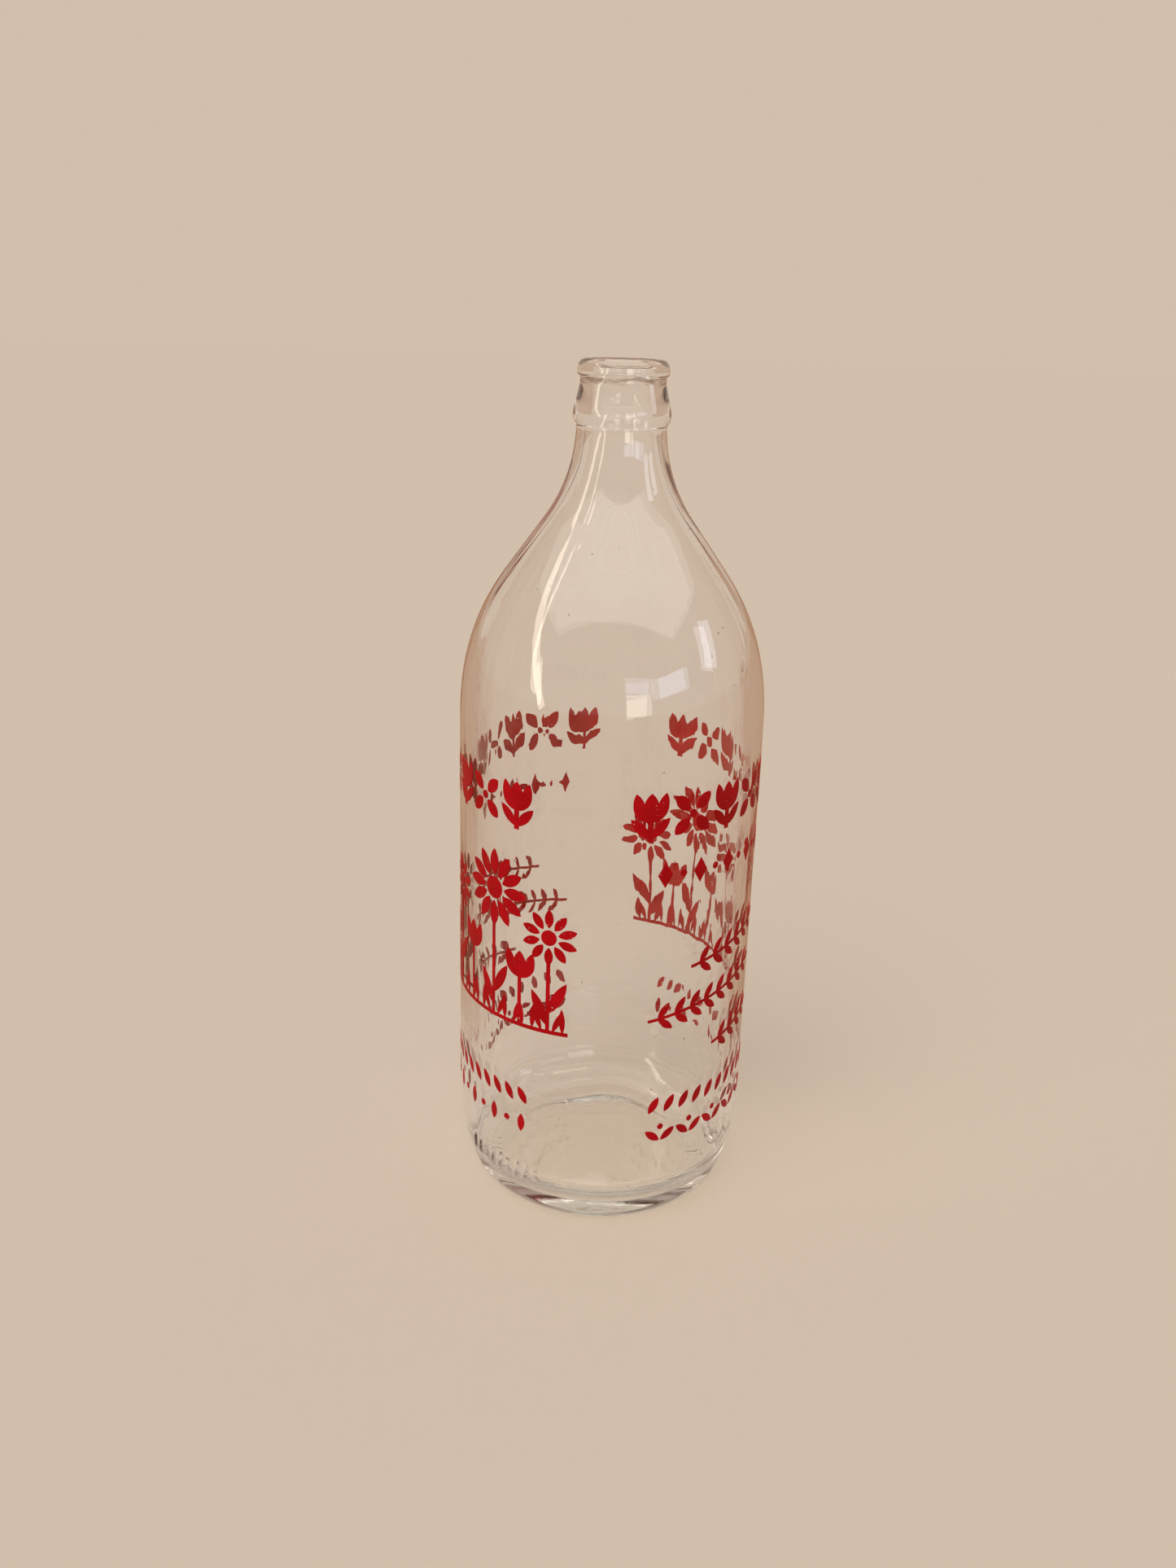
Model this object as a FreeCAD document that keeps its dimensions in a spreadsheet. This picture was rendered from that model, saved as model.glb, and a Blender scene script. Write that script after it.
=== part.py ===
import FreeCAD, Part
import math
import os
import Sketcher

# A one-litre glass milk bottle for a crown cork, with red enamel fired on to its body.
# It stands on the XY plane with its axis on Z. The front, at -Y, is the bare strip between the two
# printed panels, and angles about the axis run from the front towards +X, the bottle's right side.
# Lengths are in millimetres and angles in degrees.

SIZES = {
    # Base and heel of the glass
    "floor_thickness": 8.6,
    "floor_rise": 2.6,
    "push_up": 3.4,
    "bearing_width": 3.0,
    "toe_radius": 11.3,
    "heel_radius": 75.0,
    "heel_height": 32.0,
    "inner_heel_radius": 12.0,
    # Body and shoulder
    "body_diameter": 93.8,
    "wall": 4.2,
    "shoulder_radius": 70.4,
    "slant_length": 19.6,
    "flare_radius": 45.7,
    # Neck and reinforcing bead
    "neck_wall": 4.1,
    "bead_step": 1.15,
    "bead_foot": 2.9,
    "bead_round": 9.0,
    "bead_cone": 8.8,
    # Mouth and crown locking ring
    "total_height": 264.6,
    "bore_diameter": 18.0,
    "finish_wall": 4.3,
    "rim_flat": 0.4,
    "mouth_round": 1.2,
    "ring_land": 1.6,
    "ring_bevel": 0.8,
    "ring_groove": 1.6,
    "ring_undercut": 0.9,
    # Enamel film and its two panels
    "film": 0.15,
    "right_panel_start": 6.0,
    "left_panel_start": 186.0,
    "panel_angle": 147.0,
    "stalk_tuck": 1.0,
    # Headline band of tulips and four-petal flowers, under the shoulder
    "headline_drop": 20.2,
    "headline_height": 14.6,
    "headline_pitch": 13.3,
    "tulip_width": 10.6,
    "tulip_height": 8.8,
    "tulip_stem": 1.8,
    "tulip_leaf_length": 8.4,
    "tulip_leaf_width": 3.0,
    "tulip_leaf_tilt": 46.0,
    "cross_petal_length": 6.4,
    "cross_petal_width": 3.8,
    "cross_petal_gap": 0.5,
    "cross_dot": 2.6,
    # Half panel with the ornament rows
    "rows_start": 11.0,
    "rows_angle": 65.0,
    "diamond_drop": 18.1,
    "diamond_height": 8.0,
    "diamond_width": 4.8,
    "diamond_dot": 2.2,
    "diamond_pitch": 5.4,
    "sprig_drop": 4.5,
    "sprig_pitch": 5.6,
    "sprig_tilt": 9.0,
    "sprig_spread": 46.0,
    "sprig_stem": 1.0,
    "sprig_leaf_length": 6.2,
    "sprig_leaf_width": 2.4,
    # Rows that stand on the heel
    "seedling_rise": 5.4,
    "seedling_pitch": 9.2,
    "seedling_leaf_length": 6.0,
    "seedling_leaf_width": 2.5,
    "seedling_gap": 0.3,
    "seedling_tilt": 38.0,
    "seedling_dot": 2.0,
    "grain_rise": 9.8,
    "grain_pitch": 5.0,
    "grain_length": 6.2,
    "grain_width": 2.6,
    "grain_tilt": 60.0,
    # Half panel with the flower picture
    "picture_centre": 124.0,
    "picture_gap": 8.4,
    "ground_rise": 24.4,
    "footer_start": 84.0,
    "footer_angle": 62.0,
    "big_petal_length": 8.4,
    "big_petal_width": 3.7,
    "big_disc": 7.0,
    "small_petal_length": 6.0,
    "small_petal_width": 2.8,
    "small_disc": 5.0,
    "petal_gap": 0.6,
    "flower_stem": 1.3,
    "flower_leaf_length": 12.5,
    "flower_leaf_width": 3.4,
    "blade_length": 8.5,
    "blade_width": 1.9,
    "blade_pitch": 3.3,
    "ground_band": 1.3,
}

# How deep, and how far proud of the body, a stencil's prism reaches to cut the film right through
PRISM_DEPTH = 6.0
PRISM_PROUD = 1.0

# Stencils, as shares of a stencil's own width and height: a start, then (through, to) for each edge.
# An edge with nothing to go through is straight, and the others are arcs.
LEAF = [(-0.5, 0.0), ((0.0, 0.5), (0.5, 0.0)), ((0.0, -0.5), (-0.5, 0.0))]
DIAMOND = [(-0.5, 0.0), (None, (0.0, -0.5)), (None, (0.5, 0.0)), (None, (0.0, 0.5)), (None, (-0.5, 0.0))]
BAR = [(-0.5, -0.5), (None, (0.5, -0.5)), (None, (0.5, 0.5)), (None, (-0.5, 0.5)), (None, (-0.5, -0.5))]
TULIP = [
    (0.0, -0.5),
    ((0.4, -0.28), (0.5, 0.1)),
    ((0.49, 0.3), (0.42, 0.5)),
    ((0.28, 0.34), (0.2, 0.16)),
    ((0.12, 0.35), (0.0, 0.5)),
    ((-0.12, 0.35), (-0.2, 0.16)),
    ((-0.28, 0.34), (-0.42, 0.5)),
    ((-0.49, 0.3), (-0.5, 0.1)),
    ((-0.4, -0.28), (0.0, -0.5)),
]

# Flowers of the picture: kind, angle from the picture's centre, share of the picture's height
FLOWERS = [
    ("big_daisy", 4.0, 0.77),
    ("small_daisy", -24.0, 0.66),
    ("small_daisy", 29.0, 0.57),
    ("tulip", -10.0, 0.42),
    ("tulip", 17.0, 0.37),
    ("tulip", -34.0, 0.35),
]

# How many petals a flower has, and the tilt of its first one
PETAL_COUNT = {"big_daisy": 12, "small_daisy": 10, "cross": 4}
DAISY_TURN_ANGLE = 90.0
CROSS_TURN_ANGLE = 45.0

# Leaves of the picture: angle from the picture's centre, share of the picture's height, tilt
FLOWER_LEAVES = [
    (4.0, 0.13, 62.0),
    (4.0, 0.055, 116.0),
    (-24.0, 0.15, 60.0),
    (-24.0, 0.075, 118.0),
    (29.0, 0.11, 62.0),
    (29.0, 0.035, 116.0),
]

# Angle of the picture's tuft of grass, and how its blades lean by turns
MEADOW_ANGLE = 74.0
BLADE_LEAN_ANGLES = [74.0, 98.0, 86.0, 112.0, 66.0, 93.0]

# Angle from the front, where angles on the body start, to +X, where a cylinder's own sector starts
SECTOR_START_ANGLE = 90.0

# Angle at which each sprig starts along its row, from the top one (1) to the bottom one (-1)
SPRIG_START_ANGLES = {1: 17.0, 0: 0.0, -1: 30.0}

# What follows from the sizes. Radii are about the axis, and heights are above the ground.
DERIVED = {
    # Radii of the body and the mouth
    "body": "sizes.body_diameter / 2",
    "inner_body": "body - sizes.wall",
    "film_outside": "body + sizes.film",
    "bore": "sizes.bore_diameter / 2",
    "neck": "bore + sizes.neck_wall",
    "bead": "neck + sizes.bead_step",
    "ring": "bore + sizes.finish_wall",
    "groove": "ring - sizes.ring_undercut",
    # Heights of the mouth, from the rim down
    "lip_round": "sizes.finish_wall - sizes.rim_flat - sizes.mouth_round",
    "ring_top": "sizes.total_height - lip_round",
    "ring_low": "ring_top - sizes.ring_land",
    "ring_foot": "ring_low - sizes.ring_bevel",
    "cone_top": "ring_foot - sizes.ring_groove",
    "bead_middle": "cone_top - sizes.bead_cone",
    "flare_top": "bead_middle - sizes.bead_foot",
    # Shoulder: a straight slant touches the shoulder's arc and the neck's flare
    "inner_shoulder_radius": "sizes.shoulder_radius - sizes.wall",
    "inner_flare_radius": "sizes.flare_radius + sizes.neck_wall",
    "arcs_across": "neck + sizes.flare_radius - body + sizes.shoulder_radius",
    "arcs_reach": "sizes.flare_radius + sizes.shoulder_radius",
    "shoulder_start": "flare_top - sqrt(arcs_reach^2 + sizes.slant_length^2 - arcs_across^2)",
    # Inside of the base
    "floor_top": "sizes.floor_thickness + sizes.floor_rise",
    # Heights of the print
    "film_height": "shoulder_start - sizes.heel_height",
    "headline_middle": "shoulder_start - sizes.headline_drop",
    "headline_foot": "headline_middle - sizes.headline_height / 2",
    "diamond_middle": "headline_middle - sizes.diamond_drop",
    "diamond_foot": "diamond_middle - sizes.diamond_height / 2",
    "seedling_middle": "sizes.heel_height + sizes.seedling_rise",
    "grain_middle": "seedling_middle + sizes.grain_rise",
    "grain_top": "grain_middle + sizes.grain_length / 2",
    "sprig_middle": "(diamond_foot + grain_top) / 2 - sizes.sprig_drop",
    "sprig_spacing": "((diamond_foot - grain_top) / 2 - sizes.sprig_drop) / 2",
    "ground": "grain_middle + sizes.ground_rise",
    "ground_foot": "ground - sizes.ground_band / 2",
    "picture_height": "headline_foot - sizes.picture_gap - ground",
    # Stalks, which run a little way into what they carry
    "tulip_stalk": "sizes.headline_height - sizes.tulip_height + sizes.stalk_tuck",
    "sprig_stalk": "sizes.sprig_pitch + sizes.stalk_tuck",
    "petal_start": "sizes.petal_gap - sizes.stalk_tuck",
    "tulip_hold": "sizes.tulip_height / 2 - sizes.stalk_tuck",
    "big_daisy_hold": "sizes.big_disc / 2 + sizes.big_petal_length + petal_start",
    "small_daisy_hold": "sizes.small_disc / 2 + sizes.small_petal_length + petal_start",
}
for number, (kind, _, share) in enumerate(FLOWERS):
    DERIVED[f"flower_stalk_{number}"] = f"{share} * picture_height - {kind}_hold"

document = FreeCAD.newDocument("milk_bottle")


def make_sheet(name, cells):
    sheet = document.addObject("Spreadsheet::Sheet", name)
    for row, (alias, content) in enumerate(cells.items(), start=1):
        sheet.set(f"A{row}", alias)
        sheet.set(f"B{row}", content)
        sheet.setAlias(f"B{row}", alias)
    document.recompute()
    return sheet


make_sheet("sizes", {alias: str(value) for alias, value in SIZES.items()})
derived = make_sheet("derived", {alias: f"={formula}" for alias, formula in DERIVED.items()})


def size(alias):
    return SIZES[alias] if alias in SIZES else float(getattr(derived, alias))


def tie(alias):
    """The formula that ties a dimension to a size or to a derived value."""
    return f"sizes.{alias}" if alias in SIZES else f"derived.{alias}"


# Section of the glass

class Section:
    """A chain of lines and arcs in a sketch, each piece starting where the last one ended."""

    def __init__(self, sketch):
        self.sketch = sketch
        self.pieces = {}
        self.order = []

    def add(self, name, curve, first, last):
        index = self.sketch.addGeometry(curve)
        self.pieces[name] = (index, first, last)
        self.order.append(name)

    def line(self, name, start, end):
        self.add(name, Part.LineSegment(FreeCAD.Vector(*start, 0), FreeCAD.Vector(*end, 0)), 1, 2)

    def arc(self, name, centre, radius, start, end):
        """An arc from the angle start to the angle end, in radians, clockwise if end is the smaller."""
        circle = Part.Circle(FreeCAD.Vector(*centre, 0), FreeCAD.Vector(0, 0, 1), radius)
        first, last = (1, 2) if end > start else (2, 1)
        self.add(name, Part.ArcOfCircle(circle, min(start, end), max(start, end)), first, last)

    def join(self, smooth):
        """Closes the chain: the named pieces run smoothly into the next, and the others make a corner."""
        for here, there in zip(self.order, self.order[1:] + self.order[:1]):
            index, _, last = self.pieces[here]
            following, first, _ = self.pieces[there]
            kind = "Tangent" if here in smooth else "Coincident"
            self.sketch.addConstraint(Sketcher.Constraint(kind, index, last, following, first))

    def drive(self, label, constraint, alias):
        number = self.sketch.addConstraint(constraint)
        self.sketch.renameConstraint(number, label)
        self.sketch.setExpression(f"Constraints.{label}", tie(alias))

    def radius(self, name, alias):
        index = self.pieces[name][0]
        self.drive(f"{name}_radius", Sketcher.Constraint("Radius", index, size(alias)), alias)

    def across(self, name, end, alias):
        """Distance from the axis of a piece's first (1) or last (2) point."""
        index = self.pieces[name][0]
        constraint = Sketcher.Constraint("DistanceX", -1, 1, index, self.pieces[name][end], size(alias))
        self.drive(f"{name}_across_{end}", constraint, alias)

    def up(self, name, end, alias):
        """Height of a piece's first (1) or last (2) point."""
        index = self.pieces[name][0]
        constraint = Sketcher.Constraint("DistanceY", -1, 1, index, self.pieces[name][end], size(alias))
        self.drive(f"{name}_up_{end}", constraint, alias)

    def vertical(self, *names):
        for name in names:
            self.sketch.addConstraint(Sketcher.Constraint("Vertical", self.pieces[name][0]))

    def level_with_centre(self, name, end):
        index = self.pieces[name][0]
        self.sketch.addConstraint(Sketcher.Constraint("Horizontal", index, 3, index, self.pieces[name][end]))

    def on_axis(self, name, point):
        self.sketch.addConstraint(Sketcher.Constraint("PointOnObject", self.pieces[name][0], point, -2))

    def on_ground(self, name, end):
        index = self.pieces[name][0]
        self.sketch.addConstraint(Sketcher.Constraint("PointOnObject", index, self.pieces[name][end], -1))


def arc_radius(chord_across, chord_up):
    """Radius of an arc that leaves a level or upright line and moves off it by chord_across over chord_up."""
    return (chord_across ** 2 + chord_up ** 2) / (2 * chord_across)


def shoulder_slope(low_centre, low_radius, high_centre, high_radius):
    """Angle of the normal of the line that touches the shoulder's arc and the neck's flare."""
    across = high_centre[0] - low_centre[0]
    up = high_centre[1] - low_centre[1]
    return math.atan2(up, across) - math.acos((low_radius + high_radius) / math.hypot(across, up))


def along(centre, radius, angle):
    return (centre[0] + radius * math.cos(angle), centre[1] + radius * math.sin(angle))


def glass_section(sketch):
    """Half section of the glass: outside from the base to the mouth, then inside back down to the floor."""
    body = size("body")
    neck = size("neck")
    bead = size("bead")
    ring = size("ring")
    bore = size("bore")
    top = size("total_height")

    heel_centre = (body - size("heel_radius"), size("heel_height"))
    toe_reach = size("heel_radius") - size("toe_radius")
    toe_drop = size("heel_height") - size("toe_radius")
    toe_centre = (heel_centre[0] + math.sqrt(toe_reach ** 2 - toe_drop ** 2), size("toe_radius"))
    toe_end = -math.asin(toe_drop / toe_reach)
    bearing_inner = toe_centre[0] - size("bearing_width")
    dome_radius = arc_radius(size("push_up"), bearing_inner)
    dome_centre = (0.0, size("push_up") - dome_radius)

    shoulder_centre = (body - size("shoulder_radius"), size("shoulder_start"))
    flare_centre = (neck + size("flare_radius"), size("flare_top"))
    slope = shoulder_slope(shoulder_centre, size("shoulder_radius"), flare_centre, size("flare_radius"))

    foot_radius = arc_radius(bead - neck, size("bead_foot"))
    foot_centre = (bead - foot_radius, size("bead_middle"))
    round_centre = (bead - size("bead_round"), size("bead_middle"))
    cone_top = (size("groove"), size("cone_top"))
    cone_across = cone_top[0] - round_centre[0]
    cone_up = cone_top[1] - round_centre[1]
    cone_turn = math.acos(size("bead_round") / math.hypot(cone_across, cone_up))
    cone_start = math.atan2(cone_up, cone_across) - cone_turn
    lip = size("lip_round")
    mouth_centre = (bore + size("mouth_round"), top - size("mouth_round"))

    inner_flare = size("inner_flare_radius")
    inner_shoulder = size("inner_shoulder_radius")
    inner_slope = shoulder_slope(shoulder_centre, inner_shoulder, flare_centre, inner_flare)
    inner_body = size("inner_body")
    floor = size("floor_thickness")
    inner_heel_centre = (inner_body - size("inner_heel_radius"), floor + size("inner_heel_radius"))
    floor_radius = arc_radius(size("floor_rise"), inner_heel_centre[0])
    floor_centre = (0.0, size("floor_top") - floor_radius)

    half = math.pi
    quarter = math.pi / 2
    chain = Section(sketch)
    chain.arc("dome", dome_centre, dome_radius, quarter, math.acos(bearing_inner / dome_radius))
    chain.line("bearing", (bearing_inner, 0.0), (toe_centre[0], 0.0))
    chain.arc("toe", toe_centre, size("toe_radius"), -quarter, toe_end)
    chain.arc("heel", heel_centre, size("heel_radius"), toe_end, 0.0)
    chain.line("body", (body, size("heel_height")), (body, size("shoulder_start")))
    chain.arc("shoulder", shoulder_centre, size("shoulder_radius"), 0.0, slope)
    chain.line(
        "slant",
        along(shoulder_centre, size("shoulder_radius"), slope),
        along(flare_centre, -size("flare_radius"), slope),
    )
    chain.arc("flare", flare_centre, size("flare_radius"), half + slope, half)
    chain.arc("bead_foot", foot_centre, foot_radius, -math.asin(size("bead_foot") / foot_radius), 0.0)
    chain.arc("bead", round_centre, size("bead_round"), 0.0, cone_start)
    chain.line("cone", along(round_centre, size("bead_round"), cone_start), cone_top)
    chain.line("groove", cone_top, (size("groove"), size("ring_foot")))
    chain.line("bevel", (size("groove"), size("ring_foot")), (ring, size("ring_low")))
    chain.line("land", (ring, size("ring_low")), (ring, size("ring_top")))
    chain.arc("lip", (ring - lip, size("ring_top")), lip, 0.0, quarter)
    chain.line("rim", (ring - lip, top), (mouth_centre[0], top))
    chain.arc("mouth", mouth_centre, size("mouth_round"), quarter, half)
    chain.line("bore", (bore, mouth_centre[1]), (bore, size("flare_top")))
    chain.arc("inner_flare", flare_centre, inner_flare, half, half + inner_slope)
    chain.line(
        "inner_slant",
        along(flare_centre, -inner_flare, inner_slope),
        along(shoulder_centre, inner_shoulder, inner_slope),
    )
    chain.arc("inner_shoulder", shoulder_centre, inner_shoulder, inner_slope, 0.0)
    chain.line("inner_body", (inner_body, size("shoulder_start")), (inner_body, inner_heel_centre[1]))
    chain.arc("inner_heel", inner_heel_centre, size("inner_heel_radius"), 0.0, -quarter)
    floor_edge = math.acos(inner_heel_centre[0] / floor_radius)
    chain.arc("floor", floor_centre, floor_radius, floor_edge, quarter)
    chain.line("axis", (0.0, size("floor_top")), (0.0, size("push_up")))

    corners = {"dome", "flare", "cone", "groove", "bevel", "inner_heel", "floor", "axis"}
    chain.join([name for name in chain.order if name not in corners])

    # Base and heel
    chain.on_axis("dome", 3)
    chain.on_axis("dome", chain.pieces["dome"][1])
    chain.up("dome", 1, "push_up")
    chain.on_ground("bearing", 1)
    chain.on_ground("bearing", 2)
    bearing = chain.pieces["bearing"][0]
    width = Sketcher.Constraint("DistanceX", bearing, 1, bearing, 2, size("bearing_width"))
    chain.drive("bearing_width", width, "bearing_width")
    chain.radius("toe", "toe_radius")
    chain.radius("heel", "heel_radius")
    # Body, shoulder and neck
    chain.vertical("body", "groove", "land", "bore", "inner_body")
    chain.across("body", 1, "body")
    chain.up("body", 1, "heel_height")
    chain.up("body", 2, "shoulder_start")
    chain.radius("shoulder", "shoulder_radius")
    chain.radius("flare", "flare_radius")
    chain.across("flare", 2, "neck")
    chain.up("flare", 2, "flare_top")
    chain.level_with_centre("flare", 2)
    # Bead and locking ring
    chain.across("bead_foot", 2, "bead")
    chain.up("bead_foot", 2, "bead_middle")
    chain.level_with_centre("bead_foot", 2)
    chain.radius("bead", "bead_round")
    chain.across("cone", 2, "groove")
    chain.up("cone", 2, "cone_top")
    chain.up("groove", 2, "ring_foot")
    chain.across("bevel", 2, "ring")
    chain.up("bevel", 2, "ring_low")
    chain.up("land", 2, "ring_top")
    # Mouth and inside
    chain.up("lip", 2, "total_height")
    sketch.addConstraint(Sketcher.Constraint("Horizontal", chain.pieces["rim"][0]))
    chain.radius("mouth", "mouth_round")
    chain.across("bore", 1, "bore")
    chain.up("bore", 2, "flare_top")
    chain.radius("inner_flare", "inner_flare_radius")
    chain.radius("inner_shoulder", "inner_shoulder_radius")
    chain.across("inner_body", 1, "inner_body")
    chain.up("inner_body", 1, "shoulder_start")
    chain.radius("inner_heel", "inner_heel_radius")
    chain.up("inner_heel", 2, "floor_thickness")
    heel = chain.pieces["inner_heel"]
    sketch.addConstraint(Sketcher.Constraint("Vertical", heel[0], 3, heel[0], heel[2]))
    chain.on_axis("floor", 3)
    chain.on_axis("floor", chain.pieces["floor"][2])
    chain.up("floor", 2, "floor_top")


def make_glass():
    body = document.addObject("PartDesign::Body", "glass_bottle")
    body.Label = "glass_bottle"
    plane = next(item for item in body.Origin.OriginFeatures if item.Role == "XZ_Plane")
    sketch = body.newObject("Sketcher::SketchObject", "glass_section")
    sketch.AttachmentSupport = [(plane, "")]
    sketch.MapMode = "FlatFace"
    glass_section(sketch)
    document.recompute()
    turned = body.newObject("PartDesign::Revolution", "blown_glass")
    turned.Profile = sketch
    turned.ReferenceAxis = (sketch, ["V_Axis"])
    turned.Angle = 360.0
    document.recompute()
    return body


# Enamel

ARC_ANGLE = "(360 / (pi * sizes.body_diameter))"
PANEL_START = "sizes.right_panel_start"
ROWS_START = f"({PANEL_START} + sizes.rows_start)"
FOOTER_START = f"({PANEL_START} + sizes.footer_start)"
PICTURE_CENTRE = f"({PANEL_START} + sizes.picture_centre)"


def arc_length(angle):
    return math.radians(angle) * size("body")


def copies(angle, pitch):
    """How many copies fit along an angle of the body at a pitch in millimetres."""
    return max(1, int(arc_length(angle) / pitch))


def make_film():
    """The sleeve, as thick as the enamel, that the stencils are cut from."""
    parts = []
    for name, radius in (("film_outer_face", "film_outside"), ("film_inner_face", "body")):
        cylinder = document.addObject("Part::Cylinder", name)
        cylinder.setExpression("Radius", tie(radius))
        cylinder.setExpression("Height", tie("film_height"))
        cylinder.setExpression("Placement.Base.z", tie("heel_height"))
        parts.append(cylinder)
    sleeve = document.addObject("Part::Cut", "film_sleeve")
    sleeve.Base, sleeve.Tool = parts
    return sleeve


def make_stencil(name, outline, width, height):
    """A closed sketch of an outline, with every corner driven by the stencil's width and height."""
    sketch = document.addObject("Sketcher::SketchObject", name)

    def place(share):
        return FreeCAD.Vector(share[0] * size(width), share[1] * size(height), 0)

    def drive(index, point, share, label):
        for axis, own_axis, alias in ((0, -2, width), (1, -1, height)):
            if share[axis] == 0:
                sketch.addConstraint(Sketcher.Constraint("PointOnObject", index, point, own_axis))
                continue
            kind = "DistanceX" if axis == 0 else "DistanceY"
            ends = (-1, 1, index, point) if share[axis] > 0 else (index, point, -1, 1)
            part = abs(share[axis])
            number = sketch.addConstraint(Sketcher.Constraint(kind, *ends, part * size(alias)))
            sketch.renameConstraint(number, f"{label}_{kind}")
            sketch.setExpression(f"Constraints.{label}_{kind}", f"{part} * {tie(alias)}")

    edges = []
    here = outline[0]
    for number, (through, there) in enumerate(outline[1:]):
        if through is None:
            index = sketch.addGeometry(Part.LineSegment(place(here), place(there)))
            edges.append((index, 1, 2))
        else:
            chord = place(there) - place(here)
            anticlockwise = (place(through) - place(here)).cross(chord).z > 0
            ends = (here, there) if anticlockwise else (there, here)
            index = sketch.addGeometry(Part.Arc(place(ends[0]), place(through), place(ends[1])))
            edges.append((index, 1, 2) if anticlockwise else (index, 2, 1))
            mark = sketch.addGeometry(Part.Point(place(through)), True)
            sketch.addConstraint(Sketcher.Constraint("PointOnObject", mark, 1, index))
            drive(mark, 1, through, f"through_{number}")
        here = there
    here = outline[0]
    for number, (index, first, last) in enumerate(edges):
        following, following_first, _ = edges[(number + 1) % len(edges)]
        sketch.addConstraint(Sketcher.Constraint("Coincident", index, last, following, following_first))
        drive(index, first, here, f"corner_{number}")
        here = outline[number + 1][1]
    return sketch


def stamp(stencil, angle, height, tilt="0", reach="0"):
    """A prism of a stencil, square to the body at an angle and a height.

    The stencil is moved along by reach, then turned by tilt, anticlockwise as seen from outside.
    """
    prism = document.addObject("Part::Extrusion", f"{stencil.Name}_stamp")
    prism.Base = stencil
    prism.DirMode = "Normal"
    prism.Solid = True
    prism.LengthFwd = PRISM_DEPTH + PRISM_PROUD
    inset = f"{PRISM_DEPTH} - derived.body"
    prism.setExpression(
        "Placement",
        f"placement(vector(0; 0; {height}); rotation(vector(0; 0; 1); {angle}))"
        f" * placement(vector(0; {inset}; 0); rotation(vector(0; -1; 0); {tilt}))"
        f" * placement(vector({reach}; 0; 0); rotation(vector(1; 0; 0); 90))",
    )
    return prism


def make_print(name, film, stamps):
    """One area of enamel: where its stamps meet the film."""
    joined = document.addObject("Part::MultiFuse", f"{name}_stamps")
    joined.Shapes = stamps
    enamel = document.addObject("Part::Common", name)
    enamel.Label = name
    enamel.Base = joined
    enamel.Tool = film
    return enamel


def make_stencils():
    leaves = {
        "tulip_leaf": ("tulip_leaf_length", "tulip_leaf_width"),
        "cross_petal": ("cross_petal_length", "cross_petal_width"),
        "cross_dot": ("cross_dot", "cross_dot"),
        "diamond_dot": ("diamond_dot", "diamond_dot"),
        "sprig_leaf": ("sprig_leaf_length", "sprig_leaf_width"),
        "seedling_leaf": ("seedling_leaf_length", "seedling_leaf_width"),
        "seedling_dot": ("seedling_dot", "seedling_dot"),
        "grain": ("grain_length", "grain_width"),
        "big_petal": ("big_petal_length", "big_petal_width"),
        "big_disc": ("big_disc", "big_disc"),
        "small_petal": ("small_petal_length", "small_petal_width"),
        "small_disc": ("small_disc", "small_disc"),
        "flower_leaf": ("flower_leaf_length", "flower_leaf_width"),
        "blade": ("blade_length", "blade_width"),
    }
    stencils = {name: make_stencil(name, LEAF, *sides) for name, sides in leaves.items()}
    stencils["tulip"] = make_stencil("tulip", TULIP, "tulip_width", "tulip_height")
    stencils["diamond"] = make_stencil("diamond", DIAMOND, "diamond_width", "diamond_height")
    bars = {"tulip_stalk": "tulip_stem", "sprig_stalk": "sprig_stem"}
    for number in range(len(FLOWERS)):
        bars[f"flower_stalk_{number}"] = "flower_stem"
    for length, width in bars.items():
        stencils[length] = make_stencil(length, BAR, length, width)
    return stencils


def row_angles(start, span, pitch):
    """Angles of evenly spaced copies that fill a row, as formulas."""
    count = copies(size(span), size(pitch))
    return [f"({start} + {number + 0.5} * sizes.{span} / {count})" for number in range(count)]


def tulip_plant(stencils, angle):
    foot = "derived.headline_foot + sizes.tulip_stem / 2"
    head = "derived.headline_middle + (sizes.headline_height - sizes.tulip_height) / 2"
    stalk = "derived.headline_foot + derived.tulip_stalk / 2"
    stamps = [stamp(stencils["tulip"], angle, head), stamp(stencils["tulip_stalk"], angle, stalk, "90")]
    for tilt in ("sizes.tulip_leaf_tilt", "180 - sizes.tulip_leaf_tilt"):
        stamps.append(stamp(stencils["tulip_leaf"], angle, foot, tilt, "sizes.tulip_leaf_length / 2"))
    return stamps


def ring_of_petals(stencils, petal, disc, gap, count, angle, height, first_tilt):
    """A disc with petals all round it, clear of it by a gap."""
    reach = f"sizes.{disc} / 2 + sizes.{gap} + sizes.{petal}_length / 2"
    stamps = [stamp(stencils[disc], angle, height)]
    for number in range(count):
        tilt = f"{first_tilt + number * 360 / count}"
        stamps.append(stamp(stencils[petal], angle, height, tilt, reach))
    return stamps


def headline_band(stencils):
    cross = ("cross_petal", "cross_dot", "cross_petal_gap", PETAL_COUNT["cross"])
    stamps = []
    for number, angle in enumerate(row_angles(PANEL_START, "panel_angle", "headline_pitch")):
        if number % 2 == 0:
            stamps += tulip_plant(stencils, angle)
        else:
            stamps += ring_of_petals(stencils, *cross, angle, tie("headline_middle"), CROSS_TURN_ANGLE)
    return stamps


def diamond_row(stencils):
    kinds = ("diamond", "diamond_dot")
    stamps = []
    for number, angle in enumerate(row_angles(ROWS_START, "rows_angle", "diamond_pitch")):
        stamps.append(stamp(stencils[kinds[number % len(kinds)]], angle, tie("diamond_middle")))
    return stamps


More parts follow.
